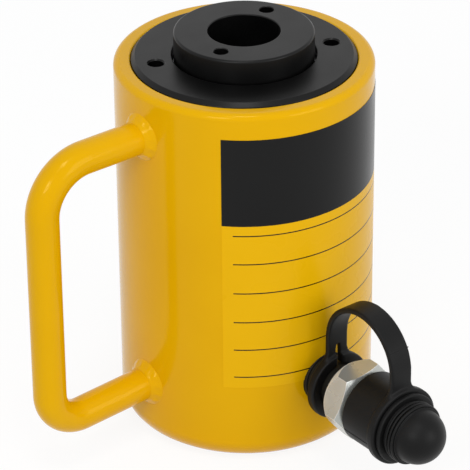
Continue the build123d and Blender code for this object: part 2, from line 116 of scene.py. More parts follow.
def add(tree, kind, **settings):
    """Place a node. A setting called in_... fills the input of that name or number."""
    node = tree.nodes.new(kind)
    for key, value in settings.items():
        if key.startswith("in_"):
            label = key[3:].replace("_", " ")
            fill(tree, node.inputs[int(label) if label.isdigit() else label.title()], value)
        else:
            setattr(node, key, value)
    return node


def maths_in(tree):
    """A helper that puts Math nodes in one tree, on numbers or outputs."""

    def maths(operation, *values):
        node = add(tree, "ShaderNodeMath", operation=operation)
        for socket, value in zip(node.inputs, values):
            fill(tree, socket, value)
        return node

    return maths


print("node helpers: fill, add, maths_in")

# %% [markdown]
# The studio is a white sweep with soft lamps. The white behind the object is only what the
# camera and mirrors see. The light that falls on the object comes from a dimmer sky and from
# lamps, so colours render as they are written.

# %% Sky
sky_level = 0.58
white_level = 1.0


def seen_rays(tree):
    """A share that is 1 for what the camera sees, directly, mirrored or through glass."""
    maths = maths_in(tree)
    rays = add(tree, "ShaderNodeLightPath").outputs
    mirrored = maths("MAXIMUM", rays["Is Camera Ray"], rays["Is Glossy Ray"])
    return maths("MAXIMUM", mirrored, rays["Is Transmission Ray"])


def shader_mix(tree, share, first, second):
    """Blend the shaders of two nodes by a share."""
    surfaces = {"in_1": first, "in_2": second}
    return add(tree, "ShaderNodeMixShader", in_0=share, **surfaces)


world = bpy.data.worlds.new("studio")
bpy.context.scene.world = world
world.use_nodes = True
sky = world.node_tree
sky.nodes.clear()
sky_soft = add(sky, "ShaderNodeBackground", in_color=(0.97, 0.98, 1.0, 1), in_strength=sky_level)
sky_white = add(sky, "ShaderNodeBackground", in_color=(1, 1, 1, 1), in_strength=white_level)
sky_both = shader_mix(sky, seen_rays(sky), sky_soft, sky_white)
add(sky, "ShaderNodeOutputWorld", in_surface=sky_both)
print("sky nodes:", len(sky.nodes))

# %% [markdown]
# Enamel shows its shine only where a lamp is brighter than the white around it, so the lamps
# are fairly small squares. One stands to the left, one is high in front, and a larger one fills
# the shade on the right.

# %% Lamps
lamp_middle = Vector((0, 0, 0.08))


def soft_lamp(name, place, size, watts):
    """A square lamp that faces the middle of the object."""
    data = bpy.data.lights.new(name, "AREA")
    data.shape = "SQUARE"
    data.size = size
    data.energy = watts
    place_facing(name, data, place, lamp_middle)


soft_lamp("key", (-1.35, -0.75, 1.0), 0.5, 6.6)
soft_lamp("top", (-0.45, -0.55, 1.65), 0.4, 4.6)
soft_lamp("fill", (0.45, -1.7, 0.6), 0.9, 7.0)

# %% [markdown]
# The floor must look white without losing the object's shadow. So the camera sees a mix:
# mostly a glow, and a share of matt paint on which the shadow falls. Light that bounces off
# it onto the object comes from the paint alone.

# %% Floor
floor_half = 3.0
floor_white = 1.07
floor_glow_share = 0.82
floor_mesh = bpy.data.meshes.new("floor")
floor_corners = [(x * floor_half, y * floor_half, 0) for x, y in ((-1, -1), (1, -1), (1, 1), (-1, 1))]
floor_mesh.from_pydata(floor_corners, [], [(0, 1, 2, 3)])
floor = new_piece("floor", floor_mesh)
floor_paint = bpy.data.materials.new("pale_floor")
floor_paint.use_nodes = True
floor_tree = floor_paint.node_tree
floor_tree.nodes.clear()
floor_matte = add(floor_tree, "ShaderNodeBsdfDiffuse", in_color=(0.78, 0.78, 0.78, 1))
floor_glow = add(floor_tree, "ShaderNodeEmission", in_strength=floor_white)
floor_share = maths_in(floor_tree)("MULTIPLY", seen_rays(floor_tree), floor_glow_share)
floor_both = shader_mix(floor_tree, floor_share, floor_matte, floor_glow)
add(floor_tree, "ShaderNodeOutputMaterial", in_surface=floor_both)
floor_mesh.materials.append(floor_paint)
print("floor:", 2 * floor_half, "m wide")


# %% [markdown]
# Every finish shares a few effects. Each one is a small group of nodes with its own inputs,
# built once, and a material places it at its own scale. The first is a slow change of tone,
# which is only noise stretched between a low and a high value.

# %% Slow tone
def new_group(name, inputs, output):
    """An empty shader group with float or vector inputs and one float output."""
    group = bpy.data.node_groups.new(name, "ShaderNodeTree")
    for label, value in inputs.items():
        kind = "NodeSocketVector" if value is None else "NodeSocketFloat"
        socket = group.interface.new_socket(label, in_out="INPUT", socket_type=kind)
        if value is not None:
            socket.default_value = value
    group.interface.new_socket(output, in_out="OUTPUT", socket_type="NodeSocketFloat")
    return group, group.nodes.new("NodeGroupInput").outputs


def end_group(group, value):
    """Send the group's result out."""
    add(group, "NodeGroupOutput", in_0=value)
    print("shader group:", group.name, "nodes:", len(group.nodes))


tone_group, tone_in = new_group(
    "slow_tone", {"Vector": None, "Scale": 20.0, "Low": 0.0, "High": 1.0}, "Value"
)
tone_noise = add(
    tone_group, "ShaderNodeTexNoise", in_vector=tone_in["Vector"], in_scale=tone_in["Scale"],
    in_detail=3.0,
)
tone_map = add(
    tone_group, "ShaderNodeMapRange", in_value=tone_noise.outputs["Fac"],
    in_from_min=0.3, in_from_max=0.7, in_to_min=tone_in["Low"], in_to_max=tone_in["High"],
)
end_group(tone_group, tone_map)

# %% [markdown]
# A lathe leaves fine grooves. A sine of the distance from the axis plus the height along it
# gives rings on flat ends and round sides alike, and noise along the same line shifts and
# fades them, because real feeds are never quite even.

# %% Turning marks
ring_group, ring_in = new_group(
    "turning_marks", {"Vector": None, "Pitch": 0.0005, "Uneven": 0.4}, "Value"
)
ring = maths_in(ring_group)
ring_xyz = add(ring_group, "ShaderNodeSeparateXYZ", in_vector=ring_in["Vector"]).outputs
ring_squares = ring("ADD", ring("POWER", ring_xyz["X"], 2.0), ring("POWER", ring_xyz["Y"], 2.0))
ring_along = ring("ADD", ring("SQRT", ring_squares), ring_xyz["Z"])
ring_turns = ring("DIVIDE", ring_along, ring_in["Pitch"])
ring_noise = add(
    ring_group, "ShaderNodeTexNoise", noise_dimensions="1D", in_w=ring_turns, in_scale=0.6
).outputs["Fac"]
ring_phase = ring("MULTIPLY", ring_noise, ring_in["Uneven"])
ring_wave = ring("SINE", ring("MULTIPLY", ring("ADD", ring_turns, ring_phase), 2 * pi))
end_group(ring_group, ring("MULTIPLY", ring("MULTIPLY_ADD", ring_wave, 0.5, 0.5), ring_noise))

# %% [markdown]
# Edges take a lighter colour: partly wear, as paint and oxide wear through first on edges, and
# partly painted highlight along rims and arrises. Where the Bevel node's rounded normal turns
# away from the true one there is an edge, and noise breaks the line up.

# %% Worn edges and painted edge highlights
edge_gain = 12.0
edge_group, edge_in = new_group(
    "edge_wear_and_sheen", {"Vector": None, "Width": 0.0006, "Amount": 0.5}, "Mask"
)
edge = maths_in(edge_group)
edge_soft = add(edge_group, "ShaderNodeBevel", samples=6, in_radius=edge_in["Width"])
edge_true = add(edge_group, "ShaderNodeNewGeometry")
edge_dot = add(
    edge_group, "ShaderNodeVectorMath", operation="DOT_PRODUCT",
    in_0=edge_soft, in_1=edge_true.outputs["Normal"],
)
edge_turn = edge("SUBTRACT", 1.0, edge_dot.outputs["Value"])
edge_noise = add(
    edge_group, "ShaderNodeTexNoise", in_vector=edge_in["Vector"], in_scale=900.0, in_detail=4.0
)
edge_broken = edge("MULTIPLY", edge_turn, edge_noise.outputs["Fac"])
edge_strong = edge("MULTIPLY", edge_broken, edge_in["Amount"])
end_group(edge_group, edge("MINIMUM", edge("MULTIPLY", edge_strong, edge_gain), 1.0))

# %% [markdown]
# Handling leaves hair-thin scratches in patches. One stretched noise, cut off high, gives the
# hairs, and a slower noise says where they lie.

# %% Hair scratches
scuff_group, scuff_in = new_group(
    "hair_scratches", {"Vector": None, "Scale": 60.0, "Amount": 0.5}, "Mask"
)
scuff = maths_in(scuff_group)
scuff_stretch = add(
    scuff_group, "ShaderNodeMapping", in_vector=scuff_in["Vector"],
    in_rotation=(0.3, 0.2, 0.0), in_scale=(1.0, 1.0, 0.06),
)
scuff_shares = []
for vector, scale, detail, low, high in (
    (scuff_stretch, scuff("MULTIPLY", scuff_in["Scale"], 20.0), 2.0, 0.62, 0.72),
    (scuff_in["Vector"], scuff_in["Scale"], 1.0, 0.5, 0.7),
):
    noise = add(
        scuff_group, "ShaderNodeTexNoise", in_vector=vector, in_scale=scale, in_detail=detail
    )
    cut = add(
        scuff_group, "ShaderNodeMapRange", in_value=noise.outputs["Fac"],
        in_from_min=low, in_from_max=high,
    )
    scuff_shares.append(cut)
end_group(scuff_group, scuff("MULTIPLY", scuff("MULTIPLY", *scuff_shares), scuff_in["Amount"]))

# %% [markdown]
# A finish is one recipe: two close tones, how rough it is, and which marks it has. The
# Principled shader stays in each material, where the export can read it. Turning marks run
# round the lifting axis or the port's axis, which the port's matrix turns to -Y.

# %% Recipe for a finish
port_height = 32.0
PORT = Matrix(((1, 0, 0, 0), (0, 0, -1, 0), (0, 1, 0, port_height * mm), (0, 0, 0, 1)))


def linear(red, green, blue):
    """A colour read as 0 to 255 on a screen, as linear values."""
    shares = [v / 255 for v in (red, green, blue)]
    return tuple(v / 12.92 if v <= 0.04045 else ((v + 0.055) / 1.055) ** 2.4 for v in shares) + (1,)


def grey(level):
    return (level, level, level, 1)


def place_group(tree, group, vector, **values):
    """Put a shader group in a material and set its inputs."""
    inputs = {"in_" + label: value for label, value in values.items()}
    return add(tree, "ShaderNodeGroup", node_tree=group, in_vector=vector, **inputs)


def colour_mix(tree, share, first, second):
    """Blend two colours by a share; 6 and 7 are the Mix node's colour inputs."""
    mix = add(tree, "ShaderNodeMix", data_type="RGBA", in_0=share, in_6=first, in_7=second)
    return mix.outputs[2]


def make_finish(
    name, dark, light, roughness, metallic=0.0, specular=0.5, tint=(1, 1, 1, 1),
    tone_scale=25.0, grain_scale=600.0, grain_depth=0.00002,
    ring_pitch=0.0, ring_depth=0.00001, port_axis=False,
    edge_colour=None, edge_width=0.0005, edge_amount=0.5, scratch_amount=0.3,
):
    """Build one finish from the shared effects."""
    material = bpy.data.materials.new(name)
    material.use_nodes = True
    tree = material.node_tree
    tree.nodes.clear()
    surface = add(tree, "ShaderNodeBsdfPrincipled", in_metallic=metallic, in_specular_tint=tint)
    surface.inputs["Specular IOR Level"].default_value = specular
    add(tree, "ShaderNodeOutputMaterial", in_surface=surface)
    where = tree.nodes.new("ShaderNodeTexCoord").outputs["Object"]
    tone = place_group(tree, tone_group, where, scale=tone_scale)
    shade = colour_mix(tree, tone, dark, light)
    rough = place_group(
        tree, tone_group, where, scale=tone_scale * 3, low=roughness * 0.88, high=roughness * 1.12
    )
    scratch = place_group(tree, scuff_group, where, scale=40.0, amount=scratch_amount)
    rough = maths_in(tree)("MULTIPLY_ADD", scratch, 0.25, rough)
    # The edge colour is partly wear and partly painted highlight on edges.
    if edge_colour:
        edge_mark = place_group(tree, edge_group, where, width=edge_width, amount=edge_amount)
        shade = colour_mix(tree, edge_mark, shade, edge_colour)
    grain = add(tree, "ShaderNodeTexNoise", in_vector=where, in_scale=grain_scale, in_detail=3.0)
    bump = add(tree, "ShaderNodeBump", in_height=grain.outputs["Fac"], in_distance=grain_depth)
    if ring_pitch:
        turning = where
        if port_axis:
            turning = add(
                tree, "ShaderNodeMapping", vector_type="POINT", in_vector=where,
                in_location=(0, -port_height * mm, 0), in_rotation=(-pi / 2, 0, 0),
            )
        rings = place_group(tree, ring_group, turning, pitch=ring_pitch)
        bump = add(tree, "ShaderNodeBump", in_height=rings, in_distance=ring_depth, in_normal=bump)
    for label, value in (("Base Color", shade), ("Roughness", rough), ("Normal", bump)):
        fill(tree, surface.inputs[label], value)
    return material


print("port axis height:", port_height, "mm")

# %% [markdown]
# All finishes follow the recipe with their own numbers. A low specular level keeps the white
# room from veiling the blacks and the yellow. Each CAD node first takes its slot's finish.

# %% Finishes
FINISHES = {
    "yellow_paint": make_finish(
        "yellow_enamel", linear(229, 172, 1), linear(233, 177, 3), 0.14, specular=0.2,
        tint=(1.0, 0.88, 0.3, 1), grain_scale=420.0, grain_depth=0.000035,
        # The lighter edge colour paints highlights along the rim and the arrises.
        edge_colour=linear(240, 194, 22), edge_width=0.0009, edge_amount=0.5, scratch_amount=0.15,
    ),
    "black_oxide": make_finish(
        "black_oxide_steel", grey(0.001), grey(0.003), 0.33, specular=0.2,
        ring_pitch=0.00045, ring_depth=0.000006, grain_scale=2500.0, grain_depth=0.000006,
        # The pale edge colour is partly worn bare steel and partly a painted highlight hairline at
        # the bore's edge.
        edge_colour=(0.10, 0.098, 0.095, 1), edge_width=0.0003, edge_amount=0.7,
    ),
    "hard_chrome": make_finish(
        "hard_chromed_steel", (0.46, 0.47, 0.49, 1), (0.53, 0.54, 0.56, 1), 0.16, metallic=1.0,
        ring_pitch=0.0002, ring_depth=0.0000008, grain_scale=3000.0, grain_depth=0.0000006,
    ),
    "machined_steel": make_finish(
        "bright_turned_steel", grey(0.50), (0.60, 0.60, 0.59, 1), 0.28, metallic=1.0,
        ring_pitch=0.0003, ring_depth=0.000004, port_axis=True,
    ),
    # A paler, matt copy of the zinc paints a bright highlight on the hexagon's back cone.
    "matt_zinc": make_finish(
        "matt_zinc_plate", (0.66, 0.66, 0.62, 1), (0.80, 0.80, 0.76, 1), 0.6,
        grain_scale=1500.0, grain_depth=0.000004,
    ),
    # A near-black copy of the zinc paints the rubber ring's shade on the nipple and washer.
    "dull_zinc": make_finish(
        "dull_oiled_zinc", (0.010, 0.009, 0.007, 1), (0.020, 0.018, 0.014, 1), 0.45, specular=0.2,
        ring_pitch=0.0004, ring_depth=0.000006, port_axis=True,
    ),
    "zinc_plate": make_finish(
        "bright_zinc_plate", (0.44, 0.46, 0.43, 1), (0.66, 0.67, 0.64, 1), 0.27, metallic=0.6,
        ring_pitch=0.0004, ring_depth=0.000002, port_axis=True, grain_scale=1500.0,
        # The near-white edge colour paints bright highlights on the hexagon's arrises.
        grain_depth=0.000004, edge_colour=(0.93, 0.93, 0.91, 1), edge_width=0.0006,
        edge_amount=1.0, scratch_amount=0.4,
    ),
    "spring_steel": make_finish(
        "oil_tempered_wire", (0.14, 0.13, 0.12, 1), (0.24, 0.22, 0.20, 1), 0.38, metallic=1.0
    ),
    "bronze": make_finish(
        "bearing_bronze", (0.50, 0.33, 0.14, 1), (0.64, 0.45, 0.22, 1), 0.34, metallic=1.0,
        ring_pitch=0.0004,
    ),
    "black_rubber": make_finish(
        "moulded_rubber", grey(0.003), grey(0.006), 0.46, specular=0.17,
        grain_scale=2200.0, grain_depth=0.000018, scratch_amount=0.4,
        edge_colour=(0.03, 0.03, 0.029, 1), edge_width=0.0006, edge_amount=0.35,
    ),
    "seal_polyurethane": make_finish(
        "polyurethane", (0.05, 0.12, 0.30, 1), (0.07, 0.16, 0.36, 1), 0.3, grain_depth=0.000005
    ),
    "ptfe": make_finish(
        "filled_ptfe", (0.72, 0.71, 0.67, 1), (0.82, 0.81, 0.77, 1), 0.45, grain_depth=0.000005
    ),
}
slot_of = {row["node"]: row["material_slot"] for row in frame["record"]["subparts"]}
for node_name, node_object in frame["nodes"].items():
    node_object.data.materials.clear()
    node_object.data.materials.append(FINISHES[slot_of[node_name]])
print("finishes:", sorted(FINISHES))

# %% [markdown]
# Most of this object was turned on a lathe, so most pieces are one outline spun round an
# axis. Blender's Screw modifier could do it, but corners need their own small roundings here,
# so an outline is written as corners with roundings and spun in code.

# %% Lathe helpers
LATHE_STEPS = 168


def rounded(corners, steps):
    """Round corners of (radius, height) or (radius, height, rounding) in mm; returns metres."""
    outline = []
    for index, (across, up, *more) in enumerate(corners):
        here = Vector((across, up))
        rounding = sum(more)
        if not rounding:
            outline.append(here * mm)
            continue
        back = (Vector(corners[index - 1][:2]) - here).normalized()
        ahead = (Vector(corners[(index + 1) % len(corners)][:2]) - here).normalized()
        half_angle = back.angle(ahead) / 2
        centre = here + (back + ahead).normalized() * rounding / sin(half_angle)
        reach = rounding / tan(half_angle)
        first = here + back * reach - centre
        last = here + ahead * reach - centre
        for step in range(steps + 1):
            arm = first.lerp(last, step / steps).normalized() * rounding
            outline.append((centre + arm) * mm)
    return outline


def smooth_faces(mesh):
    mesh.polygons.foreach_set("use_smooth", [True] * len(mesh.polygons))


def from_bmesh(name, work):
    """Close a bmesh into a new piece with its faces pointing outwards."""
    bmesh.ops.remove_doubles(work, verts=work.verts, dist=1e-7)
    bmesh.ops.recalc_face_normals(work, faces=work.faces)
    mesh = bpy.data.meshes.new(name)
    work.to_mesh(mesh)
    work.free()
    smooth_faces(mesh)
    return new_piece(name, mesh)


def join_rings(work, rings, skip=()):
    """Put faces between each ring of points and the next, right round."""
    for turn, this in enumerate(rings):
        other = rings[(turn + 1) % len(rings)]
        for k in range(len(this)):
            k_next = (k + 1) % len(this)
            if k not in skip:
                work.faces.new((this[k], other[k], other[k_next], this[k_next]))


def turned(name, corners, port=False, segments=LATHE_STEPS, steps=5):
    """Spin an outline round the lifting axis, or round the port's axis."""
    outline = rounded(corners, steps)
    work = bmesh.new()
    rings = []
    for turn in range(segments):
        angle = 2 * pi * turn / segments
        rings.append([work.verts.new((p.x * cos(angle), p.x * sin(angle), p.y)) for p in outline])
    at_axis = [p.x < 1e-9 for p in outline]
    skip = [k for k, here in enumerate(at_axis) if here and at_axis[(k + 1) % len(outline)]]
    join_rings(work, rings, skip)
    bmesh.ops.dissolve_degenerate(work, dist=1e-8, edges=work.edges)
    if port:
        work.transform(PORT)
    return from_bmesh(name, work)


print("lathe steps:", LATHE_STEPS)


# %% [markdown]
# Modifiers cut and soften a shape. A finished piece is handed over with its finish, the
# body it moves with and the nodes it stands for.

# %% Cutting and handing over
def settle(piece):
    """Turn what the modifiers make into the piece's own plain mesh."""
    graph = bpy.context.evaluated_depsgraph_get()
    made = bpy.data.meshes.new_from_object(piece.evaluated_get(graph))
    piece.modifiers.clear()
    piece.data = made
    made.name = piece.name


def show_smooth(piece, angle):
    """Shade smoothly, keep true corners sharp and flats flat, and store the result."""
    piece.data.set_sharp_from_angle(angle=radians(angle))
    flats = piece.modifiers.new("flats", "WEIGHTED_NORMAL")
    flats.keep_sharp = True
    settle(piece)


def combine(piece, cutters, operation="DIFFERENCE"):
    """Cut away, join or intersect solids, then drop the tools."""
    for cutter in cutters:
        step = piece.modifiers.new("cut", "BOOLEAN")
        step.operation = operation
        step.solver = "EXACT"
        step.object = cutter
    settle(piece)
    for cutter in cutters:
        bpy.data.objects.remove(cutter)


def hand_over(piece, slot, body, *nodes, smooth=32.0):
    """Give a finished piece its finish, its body and the CAD nodes that it stands for."""
    if not piece.data.materials:
        piece.data.materials.append(FINISHES[slot])
    if smooth:
        show_smooth(piece, smooth)
    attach(piece, body)
    if nodes:
        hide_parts(*nodes)
    print(piece.name, "faces:", len(piece.data.polygons))


def rod_cutter(radius, low, high, x, y, sink=0.0):
    """A round cutter along Z, 2 mm past its top, with a cone there where sink is given."""
    mouth = radius + sink
    corners = [(0, low), (radius, low), (radius, high - sink)]
    if sink:
        corners.append((mouth, high))
    corners += [(mouth, high + 2), (0, high + 2)]
    cutter = turned("cutter", corners, segments=40)
    cutter.data.transform(Matrix.Translation((x * mm, y * mm, 0)))
    return cutter


def on_circle(circle, angle):
    return circle / 2 * cos(radians(angle)), circle / 2 * sin(radians(angle))


print("a pin hole at 156 degrees:", on_circle(67.6, 156.0))

# %% [markdown]
# The barrel is a thick cup turned from one bar, then painted. The port's spot face and thread
# hole are cut across it afterwards with a Boolean, as a drill press would do, because a lathe
# outline can't hold a crossing hole.

# %% Barrel
body_radius, rim_height = 49.0, 149.4
cylinder_bore, base_top = 36.5, 26.0
recess_radius, gland_bottom = 42.6, 132.4
tube_seat, flange_seat, flange_top = 19.05, 23.1, 5.0
barrel = turned(
    "barrel",
    [
        (flange_seat, 0, 0.3), (body_radius, 0, 9.0), (body_radius, rim_height, 2.5),
        (recess_radius, rim_height, 0.9), (recess_radius, gland_bottom, 0.2),
        (cylinder_bore, gland_bottom, 0.3), (cylinder_bore, base_top, 0.5),
        (tube_seat, base_top, 0.3), (tube_seat, flange_top), (flange_seat, flange_top),
    ],
    segments=240, steps=8,
)
oil_way, port_thread, spot_face = 2.5, 8.7, 10.3
port_cutter = turned(
    "cutter",
    [
        (0, 32), (oil_way, 32), (oil_way, 39.4), (port_thread, 39.4), (port_thread, 47.4),
        (spot_face, 47.4), (spot_face, 60), (0, 60),
    ],
    port=True, segments=96,
)
base_cutters = [rod_cutter(4.25, -2, 10, side * 35.0, 0) for side in (-1, 1)]
combine(barrel, [port_cutter, *base_cutters])
hand_over(barrel, "yellow_paint", "cylinder", "cylinder_body")

# %% [markdown]
# The gland ring screws into the rim and guides the plunger; the saddle screws into the
# plunger. Both have two holes for a pin spanner, cut as real holes, because their dark mouths
# show from above.

# %% Gland ring and saddle
gland_top, gland_chamfer, gland_radius, gland_bore = 150.8, 1.6, 42.45, 27.05
wiper_radius, wiper_low, wiper_high = 30.9, 143.3, 146.7
gland = turned(
    "gland",
    [
        (gland_bore, gland_bottom), (gland_radius, gland_bottom, 0.5),
        (gland_radius, gland_top - gland_chamfer, 0.7), (42.5 - gland_chamfer, gland_top, 0.3),
        (gland_bore, gland_top, 0.6), (gland_bore, wiper_high), (wiper_radius, wiper_high),
        (wiper_radius, wiper_low), (gland_bore, wiper_low),
    ],
    segments=200,
)
gland_holes = [on_circle(67.6, angle) for angle in (156.0, 336.0)]
combine(gland, [rod_cutter(3.0, 144.8, gland_top, x, y, sink=0.5) for x, y in gland_holes])
hand_over(gland, "black_oxide", "cylinder", "gland_ring")

closed_height, plunger_top = 160.0, 147.8
saddle_bore, saddle_radius, saddle_thread, saddle_low = 13.6, 26.4, 19.9, 133.8
saddle = turned(
    "saddle_plate",
    [
        (saddle_bore, saddle_low, 0.4), (saddle_thread, saddle_low, 1.0),
        (saddle_thread, plunger_top), (saddle_radius, plunger_top, 0.4),
        (saddle_radius, closed_height, 0.9), (saddle_bore, closed_height, 0.45),
    ],
    segments=200,
)
saddle_holes = [on_circle(39.2, angle) for angle in (26.0, 206.0)]
combine(saddle, [rod_cutter(2.8, 154.0, closed_height, x, y, sink=0.25) for x, y in saddle_holes])
hand_over(saddle, "black_oxide", "plunger", "saddle")

# %% [markdown]
# The plunger is a chromed tube with the piston head at its foot, and the liner keeps the oil
# out of the through bore. Both are plain turning, with grooves for the seals and guides.

# %% Plunger and liner
piston_radius, neck_radius, head_top = 36.45, 33.5, 52.1
seal_floor, seal_low, seal_high = 31.5, 38.2, 45.4
ring_floor, ring_low, ring_high = 22.2, 28.3, 33.1
plunger_radius, socket_radius, socket_floor = 27.0, 20.0, 133.7
piston = turned(
    "plunger_rod",
    [
        (tube_seat, 26.1), (neck_radius, 26.1, 0.6), (neck_radius, 37.1),
        (piston_radius, 37.1, 0.3), (piston_radius, seal_low), (seal_floor, seal_low),
        (seal_floor, seal_high), (piston_radius, seal_high), (piston_radius, 46.5),
        (neck_radius, 46.5), (neck_radius, 49.0), (piston_radius, 49.0),
        (piston_radius, head_top, 0.6), (plunger_radius, head_top),
        (plunger_radius, plunger_top, 0.6), (socket_radius, plunger_top),
        (socket_radius, socket_floor), (tube_seat, socket_floor), (tube_seat, ring_high),
        (ring_floor, ring_high), (ring_floor, ring_low), (tube_seat, ring_low),
    ],
    segments=200,
)
hand_over(piston, "hard_chrome", "plunger", "plunger")

bore_radius, tube_radius, flange_radius, tube_top = 13.5, 19.0, 23.0, 131.8
bearing_floor, bearing_low, bearing_high = 17.5, 124.1, 130.1
liner = turned(
    "bore_liner",
    [
        (bore_radius, 0, 0.5), (flange_radius, 0, 0.3), (flange_radius, flange_top, 0.2),
        (tube_radius, flange_top), (tube_radius, bearing_low), (bearing_floor, bearing_low),
        (bearing_floor, bearing_high), (tube_radius, bearing_high), (tube_radius, tube_top, 0.6),
        (bore_radius, tube_top, 0.4),
    ],
)
hand_over(liner, "hard_chrome", "cylinder", "centre_tube")

# %% [markdown]
# Where a shape repeats or follows a path, Geometry Nodes make it from named inputs. Every
# tree ends in Realize Instances and Set Material, because the export drops instances.


# %% Geometry tree helpers
def new_tree(name, **inputs):
    """An empty geometry tree with named inputs; returns the tree and its inputs."""
    tree = bpy.data.node_groups.new(name, "GeometryNodeTree")
    tree.interface.new_socket("Geometry", in_out="INPUT", socket_type="NodeSocketGeometry")
    tree.interface.new_socket("Geometry", in_out="OUTPUT", socket_type="NodeSocketGeometry")
    for label, value in inputs.items():
        kind = {int: "NodeSocketInt", float: "NodeSocketFloat"}[type(value)]
        socket = tree.interface.new_socket(label, in_out="INPUT", socket_type=kind)
        socket.default_value = value
    tree.interface.new_socket("Finish", in_out="INPUT", socket_type="NodeSocketMaterial")
    return tree, tree.nodes.new("NodeGroupInput").outputs


def end_tree(tree, inputs, geometry):
    """Realize what the tree made and give it its material."""
    real = add(tree, "GeometryNodeRealizeInstances", in_0=geometry)
    dressed = add(tree, "GeometryNodeSetMaterial", in_geometry=real, in_material=inputs["Finish"])
    add(tree, "NodeGroupOutput", in_0=dressed)
    print("geometry tree:", tree.name, "nodes:", len(tree.nodes))


def run_tree(piece, tree, **values):
    """Run a geometry tree on a piece with these inputs and keep the plain mesh it makes."""
    step = piece.modifiers.new(tree.name, "NODES")
    step.node_group = tree
    sockets = {s.name: s.identifier for s in tree.interface.items_tree if s.in_out == "INPUT"}
    for label, value in values.items():
        step[sockets[label]] = value
    settle(piece)


# %% [markdown]
# The handle is a round bar bent twice and welded on. Its corner points become a curve, the
# Fillet Curve node rounds each corner with its own radius, and Curve to Mesh sweeps a round
# section along it. The lower arm falls a little towards its bend.

# %% Handle
bar_tree, bar_in = new_tree(
    "bent_bar", BarRadius=0.00635, TopBend=0.0195, BottomBend=0.0135, Split=0.0785, Sides=40
)
bar = maths_in(bar_tree)
bar_curve = add(bar_tree, "GeometryNodeMeshToCurve", in_mesh=bar_in["Geometry"])
bar_where = add(bar_tree, "GeometryNodeInputPosition")
bar_split = add(bar_tree, "ShaderNodeSeparateXYZ", in_vector=bar_where)
bar_high = bar("GREATER_THAN", bar_split.outputs["Z"], bar_in["Split"])
bar_gain = bar("SUBTRACT", bar_in["TopBend"], bar_in["BottomBend"])
bar_fillet = add(
    bar_tree, "GeometryNodeFilletCurve", mode="POLY", in_count=20, in_curve=bar_curve,
    in_radius=bar("MULTIPLY_ADD", bar_high, bar_gain, bar_in["BottomBend"]),
)
bar_section = add(
    bar_tree, "GeometryNodeCurvePrimitiveCircle", in_resolution=bar_in["Sides"],
    in_radius=bar_in["BarRadius"],
)
bar_sweep = add(
    bar_tree, "GeometryNodeCurveToMesh", in_curve=bar_fillet,
    in_profile_curve=bar_section, in_fill_caps=True,
)
end_tree(bar_tree, bar_in, bar_sweep)

bar_radius, bar_drop, handle_reach = 6.35, 2.8, 93.9
bar_high_end, bar_low_end = 131.5, 25.5
bar_end = body_radius - bar_radius
bar_path = [(-bar_end, bar_high_end), (-handle_reach, bar_high_end)]
bar_path += [(-handle_reach, bar_low_end - bar_drop), (-bar_end, bar_low_end)]
bar_mesh = bpy.data.meshes.new("handle_bar")
bar_mesh.from_pydata([(x * mm, 0, z * mm) for x, z in bar_path], [(0, 1), (1, 2), (2, 3)], [])
handle = new_piece("handle_bar", bar_mesh)
run_tree(handle, bar_tree, Finish=FINISHES["yellow_paint"], Sides=48)
smooth_faces(handle.data)
hand_over(handle, "yellow_paint", "cylinder", "carry_handle")

# %% [markdown]
# A weld bead is a row of frozen puddles, each laid half over the one before, and here paint
# has softened them. Geometry Nodes sets drops of uneven size along the seam with a fixed seed.

# %% Drops of a weld
bead_tree, bead_in = new_tree("weld_bead", Drops=14, DropSize=0.0014, Uneven=0.2, Seed=4)
bead_maths = maths_in(bead_tree)
bead_curve = add(bead_tree, "GeometryNodeMeshToCurve", in_mesh=bead_in["Geometry"])
bead_points = add(
    bead_tree, "GeometryNodeResampleCurve", in_curve=bead_curve, in_count=bead_in["Drops"]
)
bead_drop = add(
    bead_tree, "GeometryNodeMeshIcoSphere", in_subdivisions=3, in_radius=bead_in["DropSize"]
)
# 2, 3 and 1 are this node's float inputs and output
bead_random = add(
    bead_tree, "FunctionNodeRandomValue", data_type="FLOAT", in_seed=bead_in["Seed"],
    in_2=bead_maths("SUBTRACT", 1.0, bead_in["Uneven"]),
    in_3=bead_maths("ADD", 1.0, bead_in["Uneven"]),
)
bead_lay = add(
    bead_tree, "GeometryNodeInstanceOnPoints", in_points=bead_points,
    in_instance=bead_drop.outputs["Mesh"], in_scale=bead_random.outputs[1],
)
end_tree(bead_tree, bead_in, bead_lay)

# %% [markdown]
# Under the drops lies the fillet itself, a hollow-faced ring that follows the barrel's round
# wall. A fine remesh with smoothing melts fillet and drops into one bead, which a bump map
# alone can't outline.

# %% Welds
SEAM_STEPS = 72
weld_leg, weld_root = 3.2, -0.8
fillet_section = (
    (weld_leg, 0.05), (weld_leg * 0.48, weld_leg * 0.36), (0.05, weld_leg),
    (weld_root, weld_leg), (weld_root, weld_root), (weld_leg, weld_root),
)


def seam_point(angle, away, out, height):
    """A point beside the bar: away from its middle, and out from the barrel's wall."""
    y = away * cos(angle)
    wall = sqrt(body_radius**2 - y**2)
    return Vector((-(wall + out), y, height + away * sin(angle))) * mm


def melt(piece, voxel, rounds):
    """Fuse overlapping closed shapes into one skin and smooth it."""
    skin = piece.modifiers.new("skin", "REMESH")
    skin.mode = "VOXEL"
    skin.voxel_size = voxel
    skin.use_smooth_shade = True
    if rounds:
        relax = piece.modifiers.new("relax", "SMOOTH")
        relax.factor = 0.5
        relax.iterations = rounds
    settle(piece)


def join_piece(piece, other):
    """Add another piece's mesh to this one and drop the other."""
    joined = bmesh.new()
    joined.from_mesh(piece.data)
    joined.from_mesh(other.data)
    joined.to_mesh(piece.data)
    joined.free()
    bpy.data.objects.remove(other)


